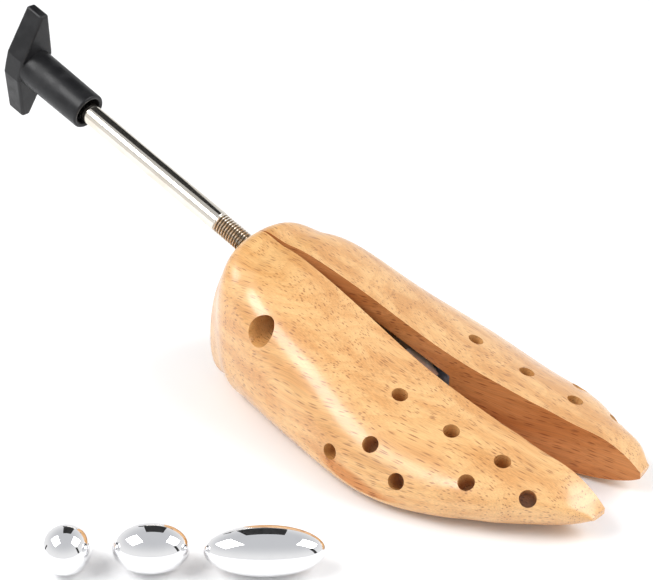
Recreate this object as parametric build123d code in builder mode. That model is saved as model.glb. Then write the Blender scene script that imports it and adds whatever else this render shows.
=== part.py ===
from build123d import *
import os
from math import atan2, cos, degrees, radians, sin, tan

# A screw-operated shoe stretcher: a wooden last, split lengthwise into two halves that rock apart.
# Millimetres. The origin is the foot of the upright line that the halves rock on, level with the soles.
# +X runs towards the toe, +Y to the far half and +Z up. The halves stand open at their resting angle.

# ---- wooden last: overall sizes ----
LAST_LENGTH = 207.6
REAR_OVERHANG = 13.6        # behind the rocking line
LAST_HEIGHT = 69.0
HALF_WIDTH = 52.0
SOLE_FLAT_SHARE = 0.30      # flat part of the sole, as a share of a half's width there

# ---- opening angles of one half, in degrees ----
REST_OPENING = 4.3
MAX_OPENING = 6.0
RELIEF_SPARE = 0.6          # extra relief behind the rocking line

# ---- spindle ----
ROD_DIAMETER = 10.0
ROD_LENGTH = 89.3           # smooth stretch between the thread and the handle
THREAD_OUTSIDE = 14.0       # thread that shows at rest
THREAD_INSIDE = 64.0
TAIL_DIAMETER = 8.0
NECK_DIAMETER = 6.0
NECK_SPARE = 3.5            # neck ahead of the wedge
NECK_POINT = 1.0
GROOVE_WIDTH = 1.0
GROOVE_DIAMETER = 5.0
ENTRY_DROP = 8.1            # spindle axis below the crest of the last, where it enters
ENTRY_X = -9.6
TRAVEL_IN = 8.5             # from rest to fully open
TRAVEL_OUT = 21.5           # from rest to closed
THREAD_CLEARANCE = 0.05
SWING_CLEARANCE = 1.6       # round the spindle in the last

# ---- barrel nut ----
NUT_X = 20.0
NUT_DIAMETER = 16.0
NUT_LENGTH = 22.0
NUT_CLEARANCE = 0.6
NUT_CHAMFER = 0.6

# ---- spreader wedge and ramp plates ----
WEDGE_X = 82.0              # broadest place of the wedge at rest
WEDGE_Z = 24.6              # height of the spindle axis there
WEDGE_HALF_WIDTH = 13.1
WEDGE_HEIGHT = 18.0
WEDGE_SHOULDER = 4.0        # parallel sides behind the broadest place
WEDGE_NOSE = 14.0
WEDGE_ANGLE = 24.0
RUNNING_GAP = 0.3
PLATE_HEIGHT = 21.0
PLATE_THICKNESS = 2.0
PLATE_START_X = 60.0
PLATE_END_X = 103.0
POCKET_MARGIN = 0.4
POCKET_REAR = 6.0           # free length behind the wedge when closed
PLATE_SCREW_INSET = (6.5, 38.5)

# ---- wood screws of the ramp plates ----
SCREW_DIAMETER = 3.4
SCREW_LENGTH = 14.0
SCREW_HEAD_DIAMETER = 6.8
SCREW_HEAD_DEPTH = 1.7
SCREW_TIP = 2.5
SLOT_WIDTH = 0.9
SLOT_DEPTH = 0.8

# ---- thrust washer and retaining ring ----
THRUST_WASHER_DIAMETER = 13.0
THRUST_WASHER_THICKNESS = 1.5
RING_DIAMETER = 9.6
RING_THICKNESS = 0.8
RING_MOUTH = 3.6

# ---- cross tie: bolt, nut, washers and springs ----
TIE_X = 40.4                # of the holes, in each half's own frame
TIE_SETBACK = 1.2           # the bolt behind the holes' middle, as they swing forward when closed
TIE_GAP = 0.4               # between the bolt and the spindle below it
TIE_HOLE_DROP = 1.0         # of the holes below the bolt
TIE_DIAMETER = 4.0
TIE_HOLE_DIAMETER = 7.4
TIE_HEAD_DIAMETER = 7.0
TIE_HEAD_HEIGHT = 4.0
TIE_SOCKET = 3.0
TIE_SOCKET_DEPTH = 2.0
TIE_NUT_FLATS = 7.0
TIE_NUT_HEIGHT = 3.2
TIE_END_SPARE = 1.5
SPRING_SEAT = 9.0           # counterbore floor from the inner face
COUNTERBORE_DIAMETER = 12.4
WASHER_FACE = 22.0          # inner face of each washer from the middle
WASHER_DIAMETER = 9.0
WASHER_HOLE = 4.3
WASHER_THICKNESS = 1.0
SPRING_DIAMETER = 7.8       # through the middle of the wire
SPRING_WIRE = 1.1
SPRING_COILS = 4.0
SPRING_GAP = 0.5            # to the counterbore's floor
SPRING_TOP_GAP = 0.1        # to the washer

# ---- holes for the plugs ----
PLUG_HOLE_DIAMETER = 7.0
PLUG_HOLE_DEPTH = 13.0
HOLE_AIM_SHARE = 0.174      # height that the holes aim at, as a share of the last's height
# place along the last as a share of its length, and the rise of its line from the aim, in degrees
PLUG_HOLES = {
    "crown_rear": (0.567, 51.4),
    "crown_middle": (0.694, 44.8),
    "crown_front": (0.812, 40.8),
    "side_low_front": (0.894, 17.9),
    "side_low_middle": (0.786, 16.2),
    "side_low_rear": (0.664, 4.8),
    "side_high": (0.587, 17.2),
    "side_back": (0.508, 5.8),
}

# ---- handle ----
HUB_LENGTH = 38.5
HUB_MOUTH_DIAMETER = 18.4
HUB_ROOT_DIAMETER = 20.4
HUB_ROOT_TUCK = 0.6         # the hub's root inside the bar
HUB_RIM_ROUND = 1.0
HUB_RECESS_DIAMETER = 14.0
HUB_RECESS_DEPTH = 5.0
HANDLE_SPAN = 61.0
HANDLE_MIDDLE = (19.6, 11.8)      # width and thickness at the middle
HANDLE_END = (4.6, 11.0)
HANDLE_FLAT = 12.0
HANDLE_CROWN = 0.6
HANDLE_ROUND = 1.6
HANDLE_TURN = -0.3               # resting turn about the spindle, in degrees
SOCKET_DEPTH = 36.0

# ---- plugs ----
PLUG_THICKNESS = 20.0
PLUG_ROUNDNESS = 0.5523           # 0.5523 is a true ellipse; more is squarer
SHORT_OVAL_LENGTH = 30.0
LONG_OVAL_LENGTH = 47.0
PEG_DIAMETER = 6.8
PEG_LENGTH = 10.0
PEG_CHAMFER = 0.6
PEG_DIP = 20.0                    # degrees below level, so that the peg's end rests too
PLUG_ROW_ANGLE = 38.9             # of the plugs' long axes from +X
PLUG_PLACES = {
    "ball_plug": (43.0, -162.0),
    "short_oval_plug": (68.0, -141.0),
    "long_oval_plug": (103.0, -115.0),
}

# Cross-sections from the heel end to the toe. Each row gives the place along the last, then the top,
# the bottom and the half width as shares of the overall sizes, the height of the broadest point as a
# share of the section's own height, and how square the shoulder is, across and down. A bottom below
# zero is trimmed level, which makes the flat of the sole.
STATIONS = [
    (0.000, 0.604, 0.294, 0.269, 0.34, 0.57, 0.62),
    (0.005, 0.692, 0.192, 0.317, 0.30, 0.54, 0.59),
    (0.017, 0.795, 0.084, 0.416, 0.24, 0.53, 0.56),
    (0.041, 0.892, 0.010, 0.491, 0.21, 0.56, 0.58),
    (0.075, 1.000, -0.01, 0.563, 0.27, 0.70, 0.78),
    (0.123, 0.990, -0.01, 0.687, 0.38, 0.75, 0.87),
    (0.191, 0.952, -0.01, 0.777, 0.37, 0.74, 0.90),
    (0.287, 0.866, -0.01, 0.850, 0.32, 0.72, 0.84),
    (0.422, 0.711, -0.01, 0.928, 0.26, 0.67, 0.73),
    (0.547, 0.568, -0.01, 0.980, 0.22, 0.67, 0.68),
    (0.653, 0.482, -0.01, 0.933, 0.21, 0.63, 0.62),
    (0.740, 0.427, 0.000, 0.827, 0.28, 0.62, 0.62),
    (0.817, 0.385, 0.013, 0.692, 0.46, 0.59, 0.63),
    (0.880, 0.356, 0.034, 0.523, 0.49, 0.59, 0.63),
    (0.925, 0.328, 0.060, 0.396, 0.52, 0.59, 0.63),
    (0.961, 0.277, 0.094, 0.308, 0.64, 0.59, 0.64),
    (0.987, 0.220, 0.130, 0.204, 0.65, 0.60, 0.64),
    (0.998, 0.188, 0.152, 0.165, 0.64, 0.60, 0.64),
]
HAUNCH = 0.67                     # how square the lower quarter is
SEAM_OVERLAP = 1.0                # sections run past the seam before it is cut flat

# ---- worked out from the sizes above ----
ENTRY_Z = LAST_HEIGHT - ENTRY_DROP
PITCH = degrees(atan2(ENTRY_Z - WEDGE_Z, WEDGE_X - ENTRY_X))
FORWARD = Vector(cos(radians(PITCH)), 0, -sin(radians(PITCH)))
ENTRY = Vector(ENTRY_X, 0, ENTRY_Z)
WEDGE_STEP = (WEDGE_X - ENTRY_X) / cos(radians(PITCH))
WEDGE_BACK = WEDGE_STEP - WEDGE_SHOULDER
WEDGE_FRONT = WEDGE_STEP + WEDGE_NOSE
SHOULDER_STEP = WEDGE_BACK - THRUST_WASHER_THICKNESS
NUT_Z = ENTRY_Z - (NUT_X - ENTRY_X) * tan(radians(PITCH))
TIE_BOLT_X = TIE_X - TIE_SETBACK
TIE_Z = (ENTRY_Z - (TIE_BOLT_X - ENTRY_X) * tan(radians(PITCH)) + ROD_DIAMETER / 2 / FORWARD.X
         + TIE_GAP + TIE_DIAMETER / 2)
RELIEF_ANGLE = MAX_OPENING + RELIEF_SPARE
FAR = 1
NEAR = -1


def half_frame(side):
    """A half's own frame at rest: X along its seam face, turned about the rocking line."""
    angle = radians(REST_OPENING) * side
    return Plane(origin=(0, 0, 0), x_dir=(cos(angle), sin(angle), 0), z_dir=(0, 0, 1))


def cross_plane(frame, x):
    """The plane across a half at x: its X is sideways and its Y is up."""
    return Plane(origin=frame.from_local_coords((x, 0, 0)), x_dir=frame.y_dir, z_dir=frame.x_dir)


def side_plane(frame):
    """The seam plane of a frame: its X is along the last and its Y is up."""
    return Plane(origin=frame.origin, x_dir=frame.x_dir, z_dir=-frame.y_dir)


def spindle_plane(step, frame=Plane.XY):
    """A plane square to the spindle, step mm inwards from its entry, facing the toe."""
    axis = frame.from_local_coords(FORWARD) - frame.origin
    return Plane(origin=frame.from_local_coords(ENTRY + FORWARD * step), x_dir=frame.y_dir, z_dir=axis)


def spindle_side(step, rise):
    """A point of the seam plane: step mm along the spindle from its entry and rise mm square above it."""
    point = ENTRY + FORWARD * step + Vector(-FORWARD.Z, 0, FORWARD.X) * rise
    return (point.X, point.Z)


def upright_block(frame, plan, side_view):
    """A solid with one outline seen from above and another seen from the side."""
    with BuildPart() as block:
        with BuildSketch(frame.offset(-LAST_HEIGHT)):
            with BuildLine():
                Polyline(*plan, close=True)
            make_face()
        extrude(amount=3 * LAST_HEIGHT)
        with BuildSketch(side_plane(frame)):
            with BuildLine():
                Polyline(*side_view, close=True)
            make_face()
        extrude(amount=HALF_WIDTH, both=True, mode=Mode.INTERSECT)
    return block.part


def turned(plane, outline):
    """A solid turned about the Z of a plane, from (radius, height) points."""
    with BuildPart() as piece:
        with BuildSketch(Plane(origin=plane.origin, x_dir=plane.x_dir, z_dir=-plane.y_dir)):
            with BuildLine():
                Polyline(*outline, close=True)
            make_face()
        revolve(axis=Axis(plane.origin, plane.z_dir))
    return piece.part


def section(side, top, bottom, width, widest, across, down):
    """One cross-section's outline: seam side, crown, flank and sole."""
    middle = bottom + widest * (top - bottom)
    flat = SOLE_FLAT_SHARE * width
    seam = -side * SEAM_OVERLAP
    Line((seam, bottom), (seam, top))
    Bezier((seam, top), (side * across * width, top), (side * width, middle + down * (top - middle)),
           (side * width, middle))
    Bezier((side * width, middle), (side * width, middle - HAUNCH * (middle - bottom)),
           (side * (flat + HAUNCH * (width - flat)), bottom), (side * flat, bottom))
    Line((side * flat, bottom), (seam, bottom))


def ramp_depth(x):
    """Depth of a ramp plate's face below the seam face, in a half's own frame."""
    closed_x = WEDGE_X - TRAVEL_OUT * FORWARD.X
    open_x = WEDGE_X + TRAVEL_IN * FORWARD.X
    rise = open_x * sin(radians(MAX_OPENING))
    bulge = rise * (open_x - closed_x) / (4 * open_x)
    return WEDGE_HALF_WIDTH + RUNNING_GAP + bulge - rise * (x - closed_x) / (open_x - closed_x)


RAMP_SLOPE = ramp_depth(0) - ramp_depth(1)
RAMP_ANGLE = degrees(atan2(RAMP_SLOPE, 1))


def ramp_plane(side, frame, x, rise=0.0):
    """The plane of a ramp plate's face at x, facing the wood: its X is along the plate and its Y up."""
    along = Vector(cos(radians(RAMP_ANGLE)), -side * sin(radians(RAMP_ANGLE)), 0)
    outward = Vector(sin(radians(RAMP_ANGLE)), side * cos(radians(RAMP_ANGLE)), 0)
    height = ENTRY_Z - (x - ENTRY_X) * tan(radians(PITCH)) + rise
    place = frame.from_local_coords((x, side * ramp_depth(x), height))
    return Plane(
        origin=place,
        x_dir=frame.from_local_coords(along) - frame.origin,
        z_dir=frame.from_local_coords(outward) - frame.origin,
    )


def plate_outline(side, thickness):
    """The plan of a ramp plate."""
    slip = thickness * sin(radians(RAMP_ANGLE))
    square = thickness * cos(radians(RAMP_ANGLE))
    ends = (PLATE_START_X, PLATE_END_X)
    corners = [(x, side * ramp_depth(x)) for x in ends]
    corners += [(x + slip, side * (ramp_depth(x) + square)) for x in reversed(ends)]
    return corners


def plate_side_view():
    """The side view of a ramp plate: a band that follows the spindle."""
    start = (PLATE_START_X - ENTRY_X) / FORWARD.X - PLATE_HEIGHT
    end = (PLATE_END_X - ENTRY_X) / FORWARD.X + PLATE_HEIGHT
    half = PLATE_HEIGHT / 2 - POCKET_MARGIN
    corners = [(start, -half), (end, -half), (end, half), (start, half)]
    return [spindle_side(along, above) for along, above in corners]


def surface_hit(faces, start, direction):
    """The outermost point and the outward normal where a ray leaves a solid."""
    hits = [hit for face in faces for hit in face.find_intersection_points(Axis(start, direction))]
    ahead = [hit for hit in hits if (hit[0] - start).dot(direction) > 0]
    point, normal = max(ahead, key=lambda hit: (hit[0] - start).dot(direction))
    return point, normal if normal.dot(direction) > 0 else -normal


def plug_hole_axes(side, faces):
    """Mouth and outward direction of each plug hole, square to the surface."""
    frame = half_frame(side)
    axes = {}
    for name, (share, rise) in PLUG_HOLES.items():
        x = share * LAST_LENGTH - REAR_OVERHANG
        start = frame.from_local_coords((x, side * SEAM_OVERLAP, HOLE_AIM_SHARE * LAST_HEIGHT))
        tilt = Vector(0, side * cos(radians(rise)), sin(radians(rise)))
        axes[name] = surface_hit(faces, start, frame.from_local_coords(tilt) - frame.origin)
    return axes


def seam_block(side, frame):
    """Everything past the seam face, with the relief behind the rocking line."""
    reach = 2 * LAST_LENGTH
    drop = reach * tan(radians(RELIEF_ANGLE))
    with BuildPart() as block:
        with BuildSketch(frame.offset(-LAST_HEIGHT)):
            with BuildLine():
                Polyline(
                    (0, 0),
                    (-reach, side * drop),
                    (-reach, -side * reach),
                    (reach, -side * reach),
                    (reach, 0),
                    close=True,
                )
            make_face()
        extrude(amount=3 * LAST_HEIGHT)
    return block.part


def wedge_pocket(side, frame):
    """The hollow for the wedge and a ramp plate in one half."""
    rear = (WEDGE_X - ENTRY_X) / FORWARD.X - TRAVEL_OUT - WEDGE_SHOULDER - POCKET_REAR
    slip = PLATE_THICKNESS * sin(radians(RAMP_ANGLE))
    square = PLATE_THICKNESS * cos(radians(RAMP_ANGLE))
    start = PLATE_START_X - PLATE_HEIGHT
    plan = [
        (start, -side * HALF_WIDTH),
        (start, side * (ramp_depth(start) + PLATE_THICKNESS / cos(radians(RAMP_ANGLE)))),
        (PLATE_END_X + slip, side * (ramp_depth(PLATE_END_X) + square)),
        (PLATE_END_X, side * ramp_depth(PLATE_END_X)),
        (PLATE_END_X, -side * HALF_WIDTH),
    ]
    end = (PLATE_END_X - ENTRY_X) / FORWARD.X + PLATE_HEIGHT
    half = PLATE_HEIGHT / 2
    corners = [(rear, -half), (end, -half), (end, half), (rear, half)]
    band = [spindle_side(along, above) for along, above in corners]
    return upright_block(frame, plan, band)


def last_half(side):
    """One wooden half, with every hollow it needs."""
    frame = half_frame(side)
    beyond_seam = seam_block(side, frame)
    pocket = wedge_pocket(side, frame)
    with BuildPart() as half:
        for share, top, bottom, width, *shape in STATIONS:
            with BuildSketch(cross_plane(frame, share * LAST_LENGTH - REAR_OVERHANG)):
                with BuildLine():
                    section(side, top * LAST_HEIGHT, bottom * LAST_HEIGHT, width * HALF_WIDTH, *shape)
                make_face()
        loft()
        split(bisect_by=Plane.XY, keep=Keep.TOP)
        axes = plug_hole_axes(side, half.faces())
        add(beyond_seam, mode=Mode.SUBTRACT)
        add(pocket, mode=Mode.SUBTRACT)
        with BuildSketch(spindle_plane(-LAST_HEIGHT, frame)):
            Circle(ROD_DIAMETER / 2 + SWING_CLEARANCE)
        extrude(amount=LAST_HEIGHT + WEDGE_BACK - TRAVEL_OUT, mode=Mode.SUBTRACT)
        with BuildSketch(frame.offset(NUT_Z - NUT_LENGTH / 2 - NUT_CLEARANCE)):
            with Locations((NUT_X, 0)):
                Circle(NUT_DIAMETER / 2 + NUT_CLEARANCE)
        extrude(amount=NUT_LENGTH + 2 * NUT_CLEARANCE, mode=Mode.SUBTRACT)
        tie_centre = frame.from_local_coords((TIE_X, side * SPRING_SEAT, TIE_Z - TIE_HOLE_DROP))
        tie_plane = Plane(origin=tie_centre, x_dir=frame.x_dir, z_dir=frame.y_dir * side)
        with BuildSketch(tie_plane):
            Circle(COUNTERBORE_DIAMETER / 2)
        extrude(amount=HALF_WIDTH, mode=Mode.SUBTRACT)
        with BuildSketch(tie_plane):
            Circle(TIE_HOLE_DIAMETER / 2)
        extrude(amount=-2 * SPRING_SEAT, mode=Mode.SUBTRACT)
        for mouth, outward in axes.values():
            with BuildSketch(Plane(origin=mouth - outward * PLUG_HOLE_DEPTH, z_dir=outward)):
                Circle(PLUG_HOLE_DIAMETER / 2)
            extrude(amount=PLUG_HOLE_DEPTH + PLUG_HOLE_DIAMETER, mode=Mode.SUBTRACT)
        for inset in PLATE_SCREW_INSET:
            with BuildSketch(ramp_plane(side, frame, PLATE_START_X + inset)):
                Circle(SCREW_DIAMETER / 2)
            extrude(amount=SCREW_LENGTH + SCREW_TIP, mode=Mode.SUBTRACT)
    return half.part, axes


def ramp_plate(side):
    """A flat steel plate that the wedge bears on, let into the seam face."""
    frame = half_frame(side)
    blank = upright_block(frame, plate_outline(side, PLATE_THICKNESS), plate_side_view())
    cone = [(0, 0), (SCREW_HEAD_DIAMETER / 2, 0), (SCREW_DIAMETER / 2, SCREW_HEAD_DEPTH),
            (SCREW_DIAMETER / 2, PLATE_THICKNESS), (0, PLATE_THICKNESS)]
    holes = [turned(ramp_plane(side, frame, PLATE_START_X + inset), cone) for inset in PLATE_SCREW_INSET]
    with BuildPart() as plate:
        add(blank)
        add(holes, mode=Mode.SUBTRACT)
    return plate.part


def ramp_screws(side):
    """The two slotted countersunk wood screws of one ramp plate."""
    frame = half_frame(side)
    radius = SCREW_DIAMETER / 2
    outline = [(0, 0), (SCREW_HEAD_DIAMETER / 2, 0), (radius, SCREW_HEAD_DEPTH),
               (radius, SCREW_LENGTH), (0, SCREW_LENGTH + SCREW_TIP)]
    heads = [ramp_plane(side, frame, PLATE_START_X + inset) for inset in PLATE_SCREW_INSET]
    blanks = [turned(head, outline) for head in heads]
    with BuildPart() as screws:
        add(blanks)
        for head in heads:
            with BuildSketch(head):
                Rectangle(SCREW_HEAD_DIAMETER, SLOT_WIDTH)
            extrude(amount=SLOT_DEPTH, mode=Mode.SUBTRACT)
    return screws.part


def ring(plane, outer, inner, thickness):
    """A flat washer."""
    with BuildPart() as washer:
        with BuildSketch(plane):
            Circle(outer / 2)
            Circle(inner / 2, mode=Mode.SUBTRACT)
        extrude(amount=thickness)
    return washer.part


def tie_plane_at(distance):
    """A plane square to the tie bolt, distance mm towards the far half from the middle."""
    return Plane(origin=(TIE_BOLT_X, distance, TIE_Z), x_dir=(1, 0, 0), z_dir=(0, 1, 0))


def return_spring(side):
    """A compression spring between the counterbore's floor and the washer."""
    tilt = radians(REST_OPENING)
    floor = SPRING_SEAT * cos(tilt) + TIE_X * sin(tilt)
    start = floor + SPRING_GAP + SPRING_WIRE / 2
    height = WASHER_FACE - SPRING_TOP_GAP - SPRING_WIRE / 2 - start
    foot = (TIE_BOLT_X, side * start, TIE_Z)
    with BuildPart() as spring:
        with BuildLine() as coil:
            Helix(height / SPRING_COILS, height, SPRING_DIAMETER / 2, center=foot, direction=(0, side, 0))
        with BuildSketch(Plane(origin=coil.line @ 0, z_dir=coil.line % 0)):
            Circle(SPRING_WIRE / 2)
        sweep(path=coil.line, is_frenet=True)
    return spring.part


def plug_frame(name):
    """A plug's frame where it lies: X along the plug and Z along its peg."""
    x, y = PLUG_PLACES[name]
    row = radians(PLUG_ROW_ANGLE)
    dip = radians(PEG_DIP)
    peg = (-sin(row) * cos(dip), cos(row) * cos(dip), -sin(dip))
    return Plane(origin=(x, y, PLUG_THICKNESS / 2), x_dir=(cos(row), sin(row), 0), z_dir=peg)


def pressure_plug(name, length):
    """A rounded plug on a peg that fits the holes in the last."""
    frame = plug_frame(name)
    reach = length / 2
    height = PLUG_THICKNESS / 2
    round_off = PLUG_ROUNDNESS
    end = height + PEG_LENGTH
    radius = PEG_DIAMETER / 2
    profile = [(0, 0), (radius, 0), (radius, end - PEG_CHAMFER), (radius - PEG_CHAMFER, end), (0, end)]
    peg = turned(frame, profile)
    with BuildPart() as plug:
        with BuildSketch(frame):
            with BuildLine():
                Bezier((0, height), (round_off * reach, height), (reach, round_off * height), (reach, 0))
                Polyline((reach, 0), (0, 0), (0, height))
            make_face()
        revolve(axis=Axis(frame.origin, frame.x_dir))
        mirror(about=Plane(origin=frame.origin, z_dir=frame.x_dir))
        add(peg)
    return plug.part


# ---- wooden halves, ramp plates and their screws ----
near_half, near_holes = last_half(NEAR)
far_half, far_holes = last_half(FAR)
near_ramp_plate = ramp_plate(NEAR)
far_ramp_plate = ramp_plate(FAR)
near_ramp_screws = ramp_screws(NEAR)
far_ramp_screws = ramp_screws(FAR)

# ---- barrel nut: an upright cylinder caught between the halves, tapped across for the spindle ----
with BuildPart() as barrel_nut:
    with BuildSketch(Plane.XY.offset(NUT_Z - NUT_LENGTH / 2)):
        with Locations((NUT_X, 0)):
            Circle(NUT_DIAMETER / 2)
    extrude(amount=NUT_LENGTH)
    chamfer(barrel_nut.edges().filter_by(GeomType.CIRCLE), length=NUT_CHAMFER)
    with BuildSketch(spindle_plane(0)):
        Circle(ROD_DIAMETER / 2 + THREAD_CLEARANCE)
    extrude(amount=2 * NUT_X + 2 * NUT_DIAMETER, mode=Mode.SUBTRACT)

# ---- cross tie ----
with BuildPart() as tie_bolt:
    head_face = WASHER_FACE + WASHER_THICKNESS
    with BuildSketch(tie_plane_at(-head_face)):
        Circle(TIE_DIAMETER / 2)
    extrude(amount=2 * head_face + TIE_NUT_HEIGHT + TIE_END_SPARE)
    with BuildSketch(tie_plane_at(-head_face)):
        Circle(TIE_HEAD_DIAMETER / 2)
    extrude(amount=-TIE_HEAD_HEIGHT)
    with BuildSketch(tie_plane_at(-head_face - TIE_HEAD_HEIGHT)):
        RegularPolygon(TIE_SOCKET / 2, 6, major_radius=False)
    extrude(amount=TIE_SOCKET_DEPTH, mode=Mode.SUBTRACT)

with BuildPart() as tie_nut:
    with BuildSketch(tie_plane_at(WASHER_FACE + WASHER_THICKNESS)):
        RegularPolygon(TIE_NUT_FLATS / 2, 6, major_radius=False)
        Circle(TIE_DIAMETER / 2, mode=Mode.SUBTRACT)
    extrude(amount=TIE_NUT_HEIGHT)

washer_foot = -WASHER_FACE - WASHER_THICKNESS
near_washer = ring(tie_plane_at(washer_foot), WASHER_DIAMETER, WASHER_HOLE, WASHER_THICKNESS)
far_washer = ring(tie_plane_at(WASHER_FACE), WASHER_DIAMETER, WASHER_HOLE, WASHER_THICKNESS)
near_spring = return_spring(NEAR)
far_spring = return_spring(FAR)

# ---- spindle ----
ROD_START = -THREAD_OUTSIDE - ROD_LENGTH
RING_STEP = WEDGE_FRONT + RUNNING_GAP
NECK_END = RING_STEP + GROOVE_WIDTH + NECK_SPARE
SOCKET_START = ROD_START - SOCKET_DEPTH
spindle_outline = [
    (0, SOCKET_START),
    (ROD_DIAMETER / 2, SOCKET_START),
    (ROD_DIAMETER / 2, THREAD_INSIDE),
    (TAIL_DIAMETER / 2, THREAD_INSIDE + (ROD_DIAMETER - TAIL_DIAMETER) / 2),
    (TAIL_DIAMETER / 2, SHOULDER_STEP),
    (NECK_DIAMETER / 2, SHOULDER_STEP),
    (NECK_DIAMETER / 2, RING_STEP),
    (GROOVE_DIAMETER / 2, RING_STEP),
    (GROOVE_DIAMETER / 2, RING_STEP + GROOVE_WIDTH),
    (NECK_DIAMETER / 2, RING_STEP + GROOVE_WIDTH),
    (NECK_DIAMETER / 2, NECK_END - NECK_POINT),
    (NECK_DIAMETER / 2 - NECK_POINT, NECK_END),
    (0, NECK_END),
]
spindle = turned(spindle_plane(0), spindle_outline)

# ---- spreader wedge: parallel shoulders behind the broadest place and a tapered nose ahead of it ----
nose_x = WEDGE_X + (WEDGE_NOSE + WEDGE_HEIGHT / 2) * FORWARD.X
nose_half = WEDGE_HALF_WIDTH - (nose_x - WEDGE_X) * tan(radians(WEDGE_ANGLE))
back_x = WEDGE_X - WEDGE_HEIGHT
wedge_plan = [
    (back_x, -WEDGE_HALF_WIDTH),
    (WEDGE_X, -WEDGE_HALF_WIDTH),
    (nose_x, -nose_half),
    (nose_x, nose_half),
    (WEDGE_X, WEDGE_HALF_WIDTH),
    (back_x, WEDGE_HALF_WIDTH),
]
wedge_side = [
    spindle_side(WEDGE_BACK, -WEDGE_HEIGHT / 2),
    spindle_side(WEDGE_FRONT, -WEDGE_HEIGHT / 2),
    spindle_side(WEDGE_FRONT, WEDGE_HEIGHT / 2),
    spindle_side(WEDGE_BACK, WEDGE_HEIGHT / 2),
]
wedge_blank = upright_block(Plane.XY, wedge_plan, wedge_side)
with BuildPart() as spreader_wedge:
    add(wedge_blank)
    with BuildSketch(spindle_plane(WEDGE_BACK - WEDGE_SHOULDER)):
        Circle(NECK_DIAMETER / 2 + THREAD_CLEARANCE)
    extrude(amount=WEDGE_FRONT - WEDGE_BACK + 2 * WEDGE_SHOULDER, mode=Mode.SUBTRACT)

thrust_washer = ring(spindle_plane(SHOULDER_STEP), THRUST_WASHER_DIAMETER,
                     NECK_DIAMETER + 2 * THREAD_CLEARANCE, THRUST_WASHER_THICKNESS)

with BuildPart() as retaining_ring:
    ring_plane = spindle_plane(RING_STEP + (GROOVE_WIDTH - RING_THICKNESS) / 2)
    with BuildSketch(ring_plane):
        Circle(RING_DIAMETER / 2)
        Circle(GROOVE_DIAMETER / 2, mode=Mode.SUBTRACT)
        with Locations((0, RING_DIAMETER / 2)):
            Rectangle(RING_MOUTH, RING_DIAMETER, mode=Mode.SUBTRACT)
    extrude(amount=RING_THICKNESS)

# ---- handle ----
BAR_STEP = ROD_START - HUB_LENGTH
with BuildPart() as t_handle:
    turn = radians(HANDLE_TURN)
    up = Vector(-FORWARD.Z, 0, FORWARD.X)
    bar = up * cos(turn) + Vector(0, 1, 0) * sin(turn)
    mouth = ENTRY + FORWARD * ROD_START
    hub_plane = Plane(origin=mouth, x_dir=bar, z_dir=-FORWARD)
    half_span = HANDLE_SPAN / 2
    middle_width, middle_thickness = HANDLE_MIDDLE
    end_width, end_thickness = HANDLE_END
    back = HUB_LENGTH + middle_thickness - HANDLE_CROWN
    with BuildSketch(hub_plane):
        with BuildLine():
            Polyline(
                (-half_span, -end_width / 2), (-HANDLE_FLAT / 2, -middle_width / 2),
                (HANDLE_FLAT / 2, -middle_width / 2), (half_span, -end_width / 2),
                (half_span, end_width / 2), (HANDLE_FLAT / 2, middle_width / 2),
                (-HANDLE_FLAT / 2, middle_width / 2), (-half_span, end_width / 2), close=True,
            )
        make_face()
    extrude(amount=HUB_LENGTH + 2 * middle_thickness)
    with BuildSketch(Plane(origin=mouth, x_dir=bar, z_dir=bar.cross(-FORWARD))):
        with BuildLine():
            Polyline(
                (-half_span, back - end_thickness), (-HANDLE_FLAT / 2, HUB_LENGTH),
                (HANDLE_FLAT / 2, HUB_LENGTH), (half_span, back - end_thickness),
                (half_span, back), (0, back + HANDLE_CROWN), (-half_span, back), close=True,
            )
        make_face()
    extrude(amount=middle_width, both=True, mode=Mode.INTERSECT)
    fillet(t_handle.edges(), radius=HANDLE_ROUND)
    with BuildSketch(hub_plane):
        Circle(HUB_MOUTH_DIAMETER / 2)
    with BuildSketch(hub_plane.offset(HUB_LENGTH + HANDLE_ROUND)):
        Circle(HUB_ROOT_DIAMETER / 2 - HUB_ROOT_TUCK)
    loft()
    with BuildSketch(hub_plane):
        Circle(HUB_RECESS_DIAMETER / 2)
    extrude(amount=HUB_RECESS_DEPTH, mode=Mode.SUBTRACT)
    with BuildSketch(hub_plane):
        Circle(ROD_DIAMETER / 2)
    extrude(amount=SOCKET_DEPTH, mode=Mode.SUBTRACT)
    rim = t_handle.edges().filter_by(GeomType.CIRCLE).group_by(Axis(mouth, -FORWARD))[0]
    fillet(rim, radius=HUB_RIM_ROUND)

# ---- plugs ----
ball_plug = pressure_plug("ball_plug", PLUG_THICKNESS)
short_oval_plug = pressure_plug("short_oval_plug", SHORT_OVAL_LENGTH)
long_oval_plug = pressure_plug("long_oval_plug", LONG_OVAL_LENGTH)

PIECES = {
    "near_half": near_half,
    "far_half": far_half,
    "near_ramp_plate": near_ramp_plate,
    "far_ramp_plate": far_ramp_plate,
    "near_ramp_screws": near_ramp_screws,
    "far_ramp_screws": far_ramp_screws,
    "barrel_nut": barrel_nut.part,
    "tie_bolt": tie_bolt.part,
    "tie_nut": tie_nut.part,
    "near_washer": near_washer,
    "far_washer": far_washer,
    "near_spring": near_spring,
    "far_spring": far_spring,
    "spindle": spindle,
    "spreader_wedge": spreader_wedge.part,
    "thrust_washer": thrust_washer,
    "retaining_ring": retaining_ring.part,
    "t_handle": t_handle.part,
    "ball_plug": ball_plug,
    "short_oval_plug": short_oval_plug,
    "long_oval_plug": long_oval_plug,
}
os.makedirs("parts", exist_ok=True)
for label, piece in PIECES.items():
    piece.label = label
    export_step(piece, f"parts/{label}.step")
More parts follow.
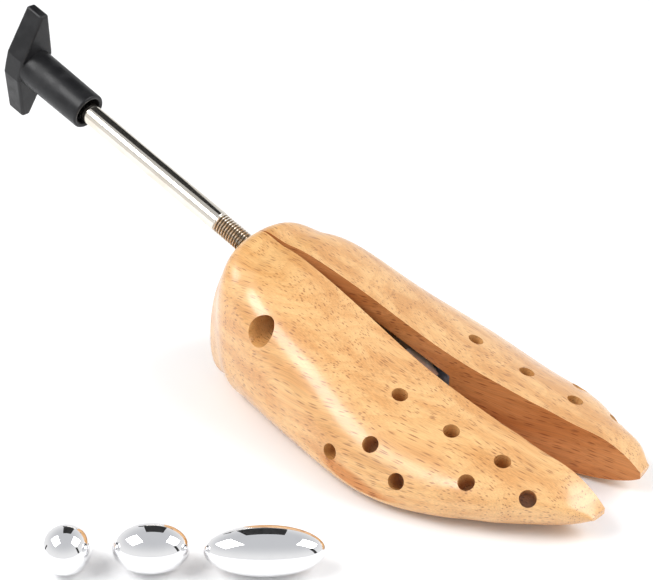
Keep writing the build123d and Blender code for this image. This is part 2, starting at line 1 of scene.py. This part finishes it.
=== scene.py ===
# %% [markdown]
# # A shoe stretcher: beech halves, a nickel spindle and three bright plugs
#
# The wooden halves, the handle and the hidden ironwork come ready made from the CAD frame, and only
# get materials here. The spindle and the plugs are made again, because a real thread and a mirror
# finish both need finer surfaces than the CAD pieces carry. Everything is in metres, with +X towards
# the toe and +Z up.

# %% Load the frame
import math

import bpy
from mathutils import Matrix, Vector


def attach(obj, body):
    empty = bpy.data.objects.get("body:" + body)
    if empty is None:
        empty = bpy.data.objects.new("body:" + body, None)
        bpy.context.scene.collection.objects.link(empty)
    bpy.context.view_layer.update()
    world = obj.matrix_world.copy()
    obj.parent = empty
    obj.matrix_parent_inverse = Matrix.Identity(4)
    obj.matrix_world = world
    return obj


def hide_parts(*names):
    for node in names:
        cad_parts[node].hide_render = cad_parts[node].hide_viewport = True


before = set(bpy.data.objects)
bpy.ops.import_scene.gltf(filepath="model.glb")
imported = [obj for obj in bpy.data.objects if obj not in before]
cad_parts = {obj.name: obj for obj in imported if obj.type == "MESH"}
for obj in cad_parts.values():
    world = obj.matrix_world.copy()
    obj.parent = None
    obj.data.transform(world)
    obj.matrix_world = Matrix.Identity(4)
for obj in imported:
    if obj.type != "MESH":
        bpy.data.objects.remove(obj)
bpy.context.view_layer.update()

MM = 0.001

# %% [markdown]
# ## Building materials out of nodes
#
# A material is a small network: patterns feed colours, roughness and bumps, which feed one Principled
# shader. Patterns that several materials share are kept in node groups with named inputs and outputs,
# so that each material can set its own values. A few short helpers make the nodes and the groups.


# %% Helpers for nodes
def add_node(tree, kind, inputs=None, **settings):
    """Adds a node. An input is given a value, or another node's socket to be linked from."""
    node = tree.nodes.new(kind)
    for name, value in settings.items():
        setattr(node, name, value)
    for key, value in (inputs or {}).items():
        set_input(tree, node.inputs[key], value)
    return node


def set_input(tree, socket, value):
    """Links a socket to another one, or sets it to a plain value."""
    if isinstance(value, bpy.types.NodeSocket):
        tree.links.new(value, socket)
    else:
        socket.default_value = value


def connect(tree, node, **values):
    """Sets several inputs of a node, named with underscores for spaces."""
    for label, value in values.items():
        set_input(tree, node.inputs[label.replace("_", " ")], value)


def math_node(tree, operation, first, second=0.0, third=0.0):
    """One step of arithmetic; returns its result."""
    node = add_node(tree, "ShaderNodeMath", {0: first, 1: second, 2: third}, operation=operation)
    return node.outputs[0]


def vector_node(tree, operation, first, second):
    """One step of arithmetic on vectors; returns the resulting vector."""
    node = add_node(tree, "ShaderNodeVectorMath", {0: first, 1: second}, operation=operation)
    return node.outputs["Vector"]


def hypotenuse(tree, first, second):
    """Distance from an axis, out of the two coordinates across it."""
    squares = [math_node(tree, "MULTIPLY", value, value) for value in (first, second)]
    return math_node(tree, "SQRT", math_node(tree, "ADD", *squares))


def smooth_range(tree, value, low, high, to_low=0.0, to_high=1.0):
    """Maps a value from one range to another with eased ends."""
    inputs = {"Value": value, "From Min": low, "From Max": high, "To Min": to_low, "To Max": to_high}
    node = add_node(tree, "ShaderNodeMapRange", inputs, interpolation_type="SMOOTHSTEP")
    return node.outputs["Result"]


def mix_colour(tree, factor, first, second, blend="MIX"):
    """Mixes two colours."""
    inputs = {0: factor, 6: first, 7: second}
    node = add_node(tree, "ShaderNodeMix", data_type="RGBA", blend_type=blend)
    for key, value in inputs.items():
        set_input(tree, node.inputs[key], value)
    return node.outputs[2]


def noise(tree, vector, detail=2.0, roughness=0.5, scale=1.0):
    """A noise that is one unit large, or smaller by its scale."""
    inputs = {"Vector": vector, "Scale": scale, "Detail": detail, "Roughness": roughness}
    return add_node(tree, "ShaderNodeTexNoise", inputs)


def place_on(tree):
    """Coordinates that stay with a piece, in millimetres."""
    inputs = {0: add_node(tree, "ShaderNodeTexCoord").outputs["Object"], "Scale": 1 / MM}
    return add_node(tree, "ShaderNodeVectorMath", inputs, operation="SCALE").outputs["Vector"]


def stretched(tree, vector, size):
    """Divides coordinates by the size that a pattern should have in each direction."""
    return vector_node(tree, "MULTIPLY", vector, tuple(1 / side for side in size))


# %% Helpers for groups and materials
def new_group(name, inputs, outputs):
    """An empty node group with named sockets.

    Returns the group, its input sockets and its output node.
    """
    group = bpy.data.node_groups.new(name, "ShaderNodeTree")
    for label, kind, value in inputs:
        socket_type = "NodeSocket" + kind
        socket = group.interface.new_socket(name=label, in_out="INPUT", socket_type=socket_type)
        socket.default_value = value
    for label, kind in outputs:
        group.interface.new_socket(name=label, in_out="OUTPUT", socket_type="NodeSocket" + kind)
    entry = group.nodes.new("NodeGroupInput")
    return group, entry.outputs, group.nodes.new("NodeGroupOutput")


def use_group(tree, group, **values):
    """Places a group in a tree and sets its inputs."""
    node = add_node(tree, "ShaderNodeGroup", node_tree=group)
    connect(tree, node, **values)
    return node


def new_material(name, **values):
    """A material with one Principled shader, whose plain values are set by name."""
    material = bpy.data.materials.new(name)
    material.use_nodes = True
    tree = material.node_tree
    shader = tree.nodes["Principled BSDF"]
    connect(tree, shader, **values)
    return material, tree, shader


def bumped(tree, height, strength, distance):
    """Normals disturbed by a height, up to a distance in millimetres."""
    inputs = {"Strength": strength, "Distance": distance * MM, "Height": height}
    return add_node(tree, "ShaderNodeBump", inputs).outputs["Normal"]


print("node helpers ready")

# %% [markdown]
# ## Beech
#
# Beech is a pale wood with three things to see: faint growth rings, fine fibres along the plank, and
# short dark flecks that are its rays cut across. The rings are cylinders round the middle of the tree,
# so on the flat crown of the last they come out as swirls, and on its flank as long straight lines.
# A noise stretched along X makes the fibres, and stretched cells, of which only some are kept, make
# the flecks. One group holds all of it, as both halves use it with different planks. The flat seam
# faces are saw-cut and not waxed, so the group dulls the wood there, and it also darkens and reddens
# them: that colour is painted shade, for the narrow gap between the halves.

# %% Sizes of the grain, in millimetres
DRIFT_SIZE = (60, 26, 26)        # how quickly the grain wanders
DRIFT_REACH = (0, 13, 13)        # how far it wanders
FIBRE_SIZE = (26, 0.42, 0.42)
TONE_SIZE = (70, 9, 9)           # the broad paler and deeper areas
FLECK_SIZE = (7.5, 0.85, 0.85)
PITH_DEPTH = 95.0                # the middle of the tree lies this far below the sole
LATE_WOOD_SHARE = 0.34
SAWN_DULLNESS = 0.25

# %% Beech group
beech, beech_in, beech_out = new_group(
    "Beech",
    [
        ("Place", "Vector", (0, 0, 0)),
        ("Ring Width", "Float", 3.4),
        ("Fleck Amount", "Float", 0.78),
        ("Pale", "Color", (1, 1, 1, 1)),
        ("Deep", "Color", (1, 1, 1, 1)),
        ("Fleck", "Color", (0, 0, 0, 1)),
        ("Sawn", "Float", 0.0),
        ("Sawn Tint", "Color", (1, 1, 1, 1)),
    ],
    [("Color", "Color"), ("Height", "Float"), ("Roughness", "Float")],
)

place = beech_in["Place"]
drift = noise(beech, stretched(beech, place, DRIFT_SIZE), detail=1.0).outputs["Color"]
drift = vector_node(beech, "SUBTRACT", drift, (0.5, 0.5, 0.5))
bent = vector_node(beech, "ADD", place, vector_node(beech, "MULTIPLY", drift, DRIFT_REACH))

parts = add_node(beech, "ShaderNodeSeparateXYZ", {0: bent})
from_pith = math_node(beech, "ADD", parts.outputs["Z"], PITH_DEPTH)
radius = hypotenuse(beech, parts.outputs["Y"], from_pith)
ring_phase = math_node(beech, "FRACT", math_node(beech, "DIVIDE", radius, beech_in["Ring Width"]))
late_wood = smooth_range(beech, ring_phase, 0.45, 0.97)

fibre_place = stretched(beech, bent, FIBRE_SIZE)
fibres = noise(beech, fibre_place, detail=3.0, roughness=0.6).outputs["Fac"]
tone = noise(beech, stretched(beech, bent, TONE_SIZE), detail=3.0).outputs["Fac"]

cell_inputs = {"Vector": stretched(beech, bent, FLECK_SIZE), "Scale": 1.0, "Randomness": 1.0}
cells = add_node(beech, "ShaderNodeTexVoronoi", cell_inputs)
chance = add_node(beech, "ShaderNodeSeparateColor", {0: cells.outputs["Color"]}).outputs[0]
core = smooth_range(beech, cells.outputs["Distance"], 0.50, 0.14)
fleck = math_node(beech, "MULTIPLY", core, smooth_range(beech, chance, 0.35, 0.75))
fleck = math_node(beech, "MULTIPLY", fleck, beech_in["Fleck Amount"])

toned = smooth_range(beech, tone, 0.36, 0.66)
ground = mix_colour(beech, toned, beech_in["Pale"], beech_in["Deep"])
ringed = math_node(beech, "MULTIPLY", late_wood, LATE_WOOD_SHARE)
ground = mix_colour(beech, ringed, ground, beech_in["Deep"])
streaks = smooth_range(beech, fibres, 0.30, 0.70, 0.84, 1.08)
ground = mix_colour(beech, 1.0, ground, streaks, "MULTIPLY")
flecked = mix_colour(beech, fleck, ground, beech_in["Fleck"])

gloss = smooth_range(beech, fibres, 0.3, 0.7, 0.36, 0.48)
# Painted shade: the seam faces get a darker, redder tint for the gap; they are also rougher, unwaxed.
connect(
    beech,
    beech_out,
    Color=mix_colour(beech, beech_in["Sawn"], flecked, beech_in["Sawn Tint"], "MULTIPLY"),
    Height=math_node(beech, "SUBTRACT", fibres, math_node(beech, "MULTIPLY", fleck, 0.5)),
    Roughness=math_node(beech, "MULTIPLY_ADD", beech_in["Sawn"], SAWN_DULLNESS, gloss),
)
print("beech group:", len(beech.nodes), "nodes")

# %% Beech materials
FLECK_BROWN = (0.27, 0.100, 0.028, 1)
# Painted shade: a darker, redder tint multiplied into the seam faces for the gap between the halves.
SEAM_SHADE_TINT = (0.78, 0.56, 0.44, 1)
WAX = 0.8                        # weight of the coat on a waxed face
WAX_ON_SAWN = 0.1                # and on a sawn one


def beech_material(name, plank, pale, deep):
    """Waxed beech from its own plank, so that the two halves don't show the same grain."""
    material, tree, shader = new_material(name, IOR=1.46, Coat_IOR=1.6, Coat_Roughness=0.24)
    facing = add_node(tree, "ShaderNodeTexCoord").outputs["Normal"]
    sideways = add_node(tree, "ShaderNodeSeparateXYZ", {0: facing}).outputs["Y"]
    # The seam faces look along Y: rougher as unwaxed wood, and tinted darker as painted shade for the gap.
    seam_faces = smooth_range(tree, math_node(tree, "ABSOLUTE", sideways), 0.975, 0.992)
    wood = use_group(
        tree,
        beech,
        Place=vector_node(tree, "ADD", place_on(tree), plank),
        Pale=pale,
        Deep=deep,
        Fleck=FLECK_BROWN,
        Sawn=seam_faces,
        Sawn_Tint=SEAM_SHADE_TINT,
    )
    connect(
        tree,
        shader,
        Base_Color=wood.outputs["Color"],
        Roughness=wood.outputs["Roughness"],
        Coat_Weight=math_node(tree, "MULTIPLY_ADD", seam_faces, WAX_ON_SAWN - WAX, WAX),
        Normal=bumped(tree, wood.outputs["Height"], 0.22, 0.12),
    )
    return material


near_beech = beech_material("near_beech", (0, 34, 0), (0.76, 0.440, 0.175, 1), (0.62, 0.300, 0.092, 1))
far_beech = beech_material("far_beech", (210, -38, 4), (0.75, 0.430, 0.170, 1), (0.61, 0.295, 0.090, 1))
print("two beech planks")

# %% [markdown]
# ## Metals and plastic
#
# All the metals share one group that breaks up their gloss: faint smears from handling and very fine
# scratches. The mirror plugs need almost none of it, the nickel rod a little, and the zinc and blued
# steel inside the last a lot. The handle is moulded plastic with a fine spark-eroded grain and a
# slight sheen where hands have rubbed it.

# %% Handling marks group
SMEAR_SIZE = (9, 9, 9)
SCRATCH_SIZE = (7, 0.10, 0.16)

marks, marks_in, marks_out = new_group(
    "Handling Marks",
    [
        ("Place", "Vector", (0, 0, 0)),
        ("Smooth", "Float", 0.05),
        ("Dull", "Float", 0.2),
        ("Scratches", "Float", 0.2),
    ],
    [("Roughness", "Float"), ("Height", "Float"), ("Mask", "Float")],
)
smears = noise(marks, stretched(marks, marks_in["Place"], SMEAR_SIZE), detail=4.0).outputs["Fac"]
scratches = noise(marks, stretched(marks, marks_in["Place"], SCRATCH_SIZE)).outputs["Fac"]
smear_mask = smooth_range(marks, smears, 0.42, 0.68)
scratch_mask = smooth_range(marks, scratches, 0.60, 0.72)
scratch_mask = math_node(marks, "MULTIPLY", scratch_mask, marks_in["Scratches"])
worn_mask = math_node(marks, "MAXIMUM", smear_mask, scratch_mask)
connect(
    marks,
    marks_out,
    Roughness=smooth_range(marks, worn_mask, 0.0, 1.0, marks_in["Smooth"], marks_in["Dull"]),
    Height=scratch_mask,
    Mask=smear_mask,
)
print("handling marks group:", len(marks.nodes), "nodes")


# %% Metals
def metal_material(name, clean, worn, gloss, scratches, bump):
    """A metal whose colour, gloss and fine scratches vary over it.

    The gloss is the roughness where it is clean and where it is worn.
    """
    material, tree, shader = new_material(name, Metallic=1.0)
    smooth, dull = gloss
    wear = use_group(tree, marks, Place=place_on(tree), Smooth=smooth, Dull=dull, Scratches=scratches)
    connect(
        tree,
        shader,
        Base_Color=mix_colour(tree, wear.outputs["Mask"], (*clean, 1), (*worn, 1)),
        Roughness=wear.outputs["Roughness"],
        Normal=bumped(tree, wear.outputs["Height"], bump, 0.02),
    )
    return material


mirror_chrome = metal_material(
    "mirror_chrome", (0.90, 0.90, 0.91), (0.88, 0.88, 0.89), gloss=(0.015, 0.03), scratches=0.05, bump=0.02
)
nickel = metal_material(
    "polished_nickel", (0.83, 0.78, 0.70), (0.77, 0.71, 0.62), gloss=(0.05, 0.13), scratches=0.3, bump=0.05
)
zinc = metal_material(
    "zinc_plate", (0.66, 0.67, 0.69), (0.55, 0.56, 0.56), gloss=(0.25, 0.48), scratches=0.6, bump=0.2
)
blued = metal_material(
    "blued_steel", (0.66, 0.71, 0.78), (0.52, 0.56, 0.62), gloss=(0.35, 0.55), scratches=0.9, bump=0.3
)
wire = metal_material(
    "spring_wire", (0.42, 0.42, 0.43), (0.30, 0.30, 0.31), gloss=(0.25, 0.4), scratches=0.3, bump=0.1
)
print("five metals")

# %% Black plastic
black_plastic, tree, shader = new_material("black_plastic", Specular_IOR_Level=0.30)
where = place_on(tree)
rub = use_group(tree, marks, Place=where, Smooth=0.36, Dull=0.50, Scratches=0.25)
grain = noise(tree, where, scale=3.2).outputs["Fac"]
pitting = noise(tree, where, scale=0.35).outputs["Fac"]
relief = math_node(tree, "MULTIPLY_ADD", pitting, 1.5, grain)
moulded, rubbed = (0.009, 0.009, 0.010, 1), (0.016, 0.016, 0.017, 1)
connect(
    tree,
    shader,
    Base_Color=mix_colour(tree, rub.outputs["Mask"], moulded, rubbed),
    Roughness=rub.outputs["Roughness"],
    Normal=bumped(tree, relief, 0.30, 0.10),
)
print("black plastic")

# %% [markdown]
# ## Dressing the CAD pieces
#
# A CAD node whose shape is right keeps its mesh, and only its material slots are filled. Each finish
# is listed with the pieces that wear it.

# %% Give each CAD piece its finish
FINISHES = {
    near_beech: ["near_half"],
    far_beech: ["far_half"],
    blued: ["near_ramp_plate", "far_ramp_plate", "spreader_wedge"],
    zinc: ["near_ramp_screws", "far_ramp_screws", "barrel_nut", "thrust_washer", "tie_bolt", "tie_nut",
           "near_washer", "far_washer"],
    wire: ["near_spring", "far_spring", "retaining_ring"],
    black_plastic: ["t_handle"],
}
for finish, names in FINISHES.items():
    for name in names:
        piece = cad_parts[name]
        for slot in piece.material_slots:
            slot.material = finish
print("dressed", sum(len(names) for names in FINISHES.values()), "pieces")

# %% [markdown]
# ## The spindle and its thread
#
# The spindle is an M10 rod with a coarse right-hand thread. It is a skin of rings strung along its
# axis: a smooth stretch needs a ring only where its radius changes, and the thread needs several rings
# in each turn. On a thread the radius depends on both the place along the axis and the angle, and that
# alone makes the helix, so crest and root run round the rod as they do on a real one.

# %% Sizes of the spindle
PITCH_DOWN = math.radians(21.618)
FORWARD = Vector((math.cos(PITCH_DOWN), 0, -math.sin(PITCH_DOWN)))
UPWARD = Vector((math.sin(PITCH_DOWN), 0, math.cos(PITCH_DOWN)))
ENTRY = Vector((-9.6, 0, 60.9)) * MM      # where the axis enters the last
ROD_RADIUS = 5.0 * MM
THREAD_PITCH = 1.5 * MM
THREAD_DEPTH = 0.86 * MM
CREST_SHARE = 0.07                        # share of half a turn that is crest
FLANK_SHARE = 0.80                        # and share that is flank; the rest is root
RUN_OUT = 1.2 * MM                        # the thread fades out over this length

# Places along the axis are counted from the entry, towards the toe.
ROD_FROM = -139.0 * MM
THREAD_FROM = -14.0 * MM
THREAD_TO = 64.0 * MM
CORNER = 0.01                             # two rings this far apart make a sharp step
TAIL = [                                  # (place, radius) beyond the thread, in millimetres
    (65.0, 4.0),
    (93.03, 4.0),
    (93.03 + CORNER, 3.0),
    (112.83, 3.0),
    (112.83 + CORNER, 2.5),
    (113.83, 2.5),
    (113.83 + CORNER, 3.0),
    (116.33, 3.0),
    (117.33, 2.0),
]
SIDES = 72
RINGS_A_TURN = 10


def thread_radius(step, angle):
    """Radius of the thread at a place along the axis and an angle round it."""
    phase = (step / THREAD_PITCH - angle / math.tau) % 1.0
    flank = 1 - abs(2 * phase - 1)
    shape = min(1.0, max(0.0, (flank - CREST_SHARE) / FLANK_SHARE))
    fade = min(1.0, max(0.0, (step - THREAD_FROM) / RUN_OUT))
    return ROD_RADIUS - THREAD_DEPTH * shape * fade


# %% Helpers for meshes
def skin(name, rings):
    """A mesh from rings of points, joined by quads, with a cap at each end."""
    count = len(rings[0])
    points = [point for ring in rings for point in ring]
    faces = []
    for row in range(len(rings) - 1):
        here, ahead = row * count, (row + 1) * count
        for column in range(count):
            after = (column + 1) % count
            faces.append((here + column, here + after, ahead + after, ahead + column))
    faces.append(tuple(reversed(range(count))))
    faces.append(tuple(range(len(points) - count, len(points))))
    return new_piece(name, points, faces)


def new_piece(name, points, faces):
    """A mesh object in the scene."""
    mesh = bpy.data.meshes.new(name)
    mesh.from_pydata(points, [], faces)
    mesh.validate()
    piece = bpy.data.objects.new(name, mesh)
    bpy.context.scene.collection.objects.link(piece)
    return piece


def shade(piece, angle):
    """Smooth shading with edges sharper than an angle, in degrees, kept crisp."""
    for face in piece.data.polygons:
        face.use_smooth = True
    piece.data.set_sharp_from_angle(angle=math.radians(angle))


# %% Make the spindle
def axis_ring(step, radius):
    """A ring of points round the spindle's axis; the radius is a number or a function."""
    ring = []
    for side in range(SIDES):
        angle = math.tau * side / SIDES
        spoke = Vector((0, 1, 0)) * math.cos(angle) + UPWARD * math.sin(angle)
        reach = radius(step, angle) if callable(radius) else radius
        ring.append(ENTRY + FORWARD * step + spoke * reach)
    return ring


turns = (THREAD_TO - THREAD_FROM) / THREAD_PITCH
rings = [axis_ring(ROD_FROM, ROD_RADIUS), axis_ring(THREAD_FROM - CORNER * MM, ROD_RADIUS)]
for index in range(int(turns * RINGS_A_TURN) + 1):
    rings.append(axis_ring(THREAD_FROM + index * THREAD_PITCH / RINGS_A_TURN, thread_radius))
for step, tail_radius in TAIL:
    rings.append(axis_ring(step * MM, tail_radius * MM))
spindle = skin("threaded_spindle", rings)
shade(spindle, 40)
spindle.data.materials.append(nickel)
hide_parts("spindle")
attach(spindle, "spindle_and_handle")
print("spindle:", len(spindle.data.polygons), "faces,", round(turns), "turns of thread")

# %% Darken the grooves of the thread
GROOVE_BROWN = (0.20, 0.14, 0.085, 1)
GROOVE_DULLNESS = 0.30

tree = nickel.node_tree
shader = tree.nodes["Principled BSDF"]
from_entry = vector_node(tree, "SUBTRACT", place_on(tree), ENTRY / MM)
rise = add_node(tree, "ShaderNodeVectorMath", {0: from_entry, 1: UPWARD}, operation="DOT_PRODUCT")
side = add_node(tree, "ShaderNodeSeparateXYZ", {0: from_entry}).outputs["Y"]
off_axis = hypotenuse(tree, rise.outputs["Value"], side)
# The thread's grooves are made darker, browner and duller than its crests.
groove_mask = smooth_range(tree, off_axis, 4.95, 4.35)
bright = shader.inputs["Base Color"].links[0].from_socket
gloss = shader.inputs["Roughness"].links[0].from_socket
connect(
    tree,
    shader,
    Base_Color=mix_colour(tree, groove_mask, bright, GROOVE_BROWN),
    Roughness=math_node(tree, "MULTIPLY_ADD", groove_mask, GROOVE_DULLNESS, gloss),
)
print("grooves darkened")

# %% [markdown]
# ## The pressure plugs
#
# A plug is a ball or an oval of solid metal on a short peg that fits the holes. Chrome shows every
# facet as a kink in its reflections, so each body is turned as an ellipse with many rings. The rings
# crowd towards the two ends, where the curve is tightest. The peg is a second, smaller skin with a
# chamfered tip, sunk into the body.

# %% Sizes of the plugs
ROW_ANGLE = math.radians(38.9)            # the plugs lie side by side along this heading
PEG_DIP = math.radians(20)                # and rest on their pegs, which point down this far
PLUG_RADIUS = 10.0 * MM
PEG_PROFILE = [(8.0, 3.4), (19.4, 3.4), (20.0, 2.8)]     # (place along the peg, radius)
PLUGS = {                                 # x, y and length, all in millimetres
    "ball_plug": (43, -162, 20),
    "short_oval_plug": (68, -141, 30),
    "long_oval_plug": (103, -115, 47),
}
BODY_SIDES = 96
PEG_SIDES = 48


# %% Make the plugs
def rings_round(centre, axis, profile, sides):
    """Rings round an axis from (place along it, radius) pairs in metres."""
    first = axis.orthogonal().normalized()
    second = axis.cross(first)
    angles = [math.tau * side / sides for side in range(sides)]
    spokes = [first * math.cos(angle) + second * math.sin(angle) for angle in angles]
    return [[centre + axis * step + spoke * radius for spoke in spokes] for step, radius in profile]


def join_into(target, *others):
    """Joins pieces into the first one."""
    with bpy.context.temp_override(active_object=target, selected_editable_objects=[target, *others]):
        bpy.ops.object.join()


row = Vector((math.cos(ROW_ANGLE), math.sin(ROW_ANGLE), 0))
away = Vector((-math.sin(ROW_ANGLE), math.cos(ROW_ANGLE), 0))
peg_axis = away * math.cos(PEG_DIP) - Vector((0, 0, math.sin(PEG_DIP)))
peg_profile = [(step * MM, radius * MM) for step, radius in PEG_PROFILE]
turning = [math.pi * step / BODY_SIDES for step in range(1, BODY_SIDES)]

for name, (x, y, length) in PLUGS.items():
    centre = Vector((x * MM, y * MM, PLUG_RADIUS))
    half_length = length * MM / 2
    oval = [(-half_length * math.cos(angle), PLUG_RADIUS * math.sin(angle)) for angle in turning]
    body = skin(name + "_chrome", rings_round(centre, row, oval, BODY_SIDES))
    peg = skin(name + "_peg", rings_round(centre, peg_axis, peg_profile, PEG_SIDES))
    join_into(body, peg)
    shade(body, 35)
    body.data.materials.clear()
    body.data.materials.append(mirror_chrome)
    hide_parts(name)
    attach(body, name)
    print(body.name, len(body.data.polygons), "faces")

# %% [markdown]
# ## Floor, light and camera
#
# The object lies in a white tent: a floor and air that are almost white everywhere. A large panel in
# front, above the heel, gives the wood its broad soft highlight, and a second one behind lifts the far
# side. What makes the metals read as metal is contrast, so a few dark cards stand round the object,
# which only its reflections can see. The camera looks down on it from the toe side, with a long lens.


# %% Floor and cards
def flat_panel(name, centre, facing, width, height):
    """A flat panel that faces a point."""
    centre = Vector(centre)
    turn = (Vector(facing) - centre).to_track_quat("Z", "Y").to_matrix()
    corners = [(-1, -1), (1, -1), (1, 1), (-1, 1)]
    points = [centre + turn @ Vector((a * width / 2, b * height / 2, 0)) for a, b in corners]
    return new_piece(name, points, [(0, 1, 2, 3)])


FLOOR_DROP = 0.0002                       # keeps the floor just clear of the soles
paper, tree, shader = new_material("white_paper", Roughness=0.45)
mottle = noise(tree, place_on(tree), scale=0.02).outputs["Fac"]
connect(tree, shader, Base_Color=mix_colour(tree, mottle, (0.91, 0.91, 0.915, 1), (0.93, 0.93, 0.93, 1)))
floor = flat_panel("floor", (0, 0, -FLOOR_DROP), (0, 0, 1), 8, 8)
floor.data.materials.append(paper)

CARDS = {                                 # centre, width and height
    "card_over_rod": ((-0.19, 0.20, 0.42), 0.30, 0.46),
    "card_left": ((-1.05, -0.95, 0.10), 0.16, 0.5),
    "card_right": ((1.05, 0.10, 0.30), 0.16, 0.5),
}
card_black, tree, shader = new_material("card_black", Base_Color=(0.02, 0.02, 0.02, 1), Roughness=0.9)
for name, (centre, width, height) in CARDS.items():
    card = flat_panel(name, centre, (0.05, -0.05, 0.03), width, height)
    card.data.materials.append(card_black)
    card.visible_camera = False
print("floor and", len(CARDS), "cards")

# %% Light
HORIZON = (1.0, 1.0, 1.0, 1)
OVERHEAD = (0.66, 0.67, 0.69, 1)

world = bpy.data.worlds.new("tent")
bpy.context.scene.world = world
world.use_nodes = True
sky = world.node_tree
direction = add_node(sky, "ShaderNodeTexCoord").outputs["Generated"]
height = add_node(sky, "ShaderNodeSeparateXYZ", {0: direction}).outputs["Z"]
tent = mix_colour(sky, smooth_range(sky, height, 0.05, 0.9), HORIZON, OVERHEAD)
connect(sky, sky.nodes["Background"], Color=tent, Strength=0.92)


def soft_panel(name, place, target, width, height, power):
    """A large soft light."""
    data = bpy.data.lights.new(name, "AREA")
    data.shape, data.size, data.size_y, data.energy = "RECTANGLE", width, height, power
    lamp = bpy.data.objects.new(name, data)
    lamp.location = place
    lamp.rotation_euler = (Vector(target) - Vector(place)).to_track_quat("-Z", "Y").to_euler()
    bpy.context.scene.collection.objects.link(lamp)


soft_panel("key_panel", (-0.43, -0.72, 1.02), (0.06, 0, 0.05), 0.9, 0.6, 12)
soft_panel("fill_panel", (0.95, 0.55, 1.10), (0.08, 0, 0.03), 1.0, 0.8, 13)
print("tent and two panels")

# %% Camera
AZIMUTH, RISE, ROLL = math.radians(38.9), math.radians(29.3), math.radians(-0.2)
STAND = Vector((405.1, -451.4, 377.5)) * MM

level = Vector((math.cos(AZIMUTH), math.sin(AZIMUTH), 0))
outward = Vector((math.sin(AZIMUTH), -math.cos(AZIMUTH), 0))
backward = outward * math.cos(RISE) + Vector((0, 0, math.sin(RISE)))
upright = backward.cross(level)
right = level * math.cos(ROLL) + upright * math.sin(ROLL)
top = upright * math.cos(ROLL) - level * math.sin(ROLL)
lens = bpy.data.cameras.new("camera")
lens.sensor_width, lens.lens, lens.clip_start, lens.clip_end = 36, 82.77, 0.01, 50
camera = bpy.data.objects.new("camera", lens)
bpy.context.scene.collection.objects.link(camera)
turn = Matrix((right, top, backward)).transposed().to_4x4()
camera.matrix_world = Matrix.Translation(STAND) @ turn
bpy.context.scene.camera = camera
bpy.context.scene.view_settings.view_transform = "Standard"
print("camera at", [round(value, 3) for value in camera.location])
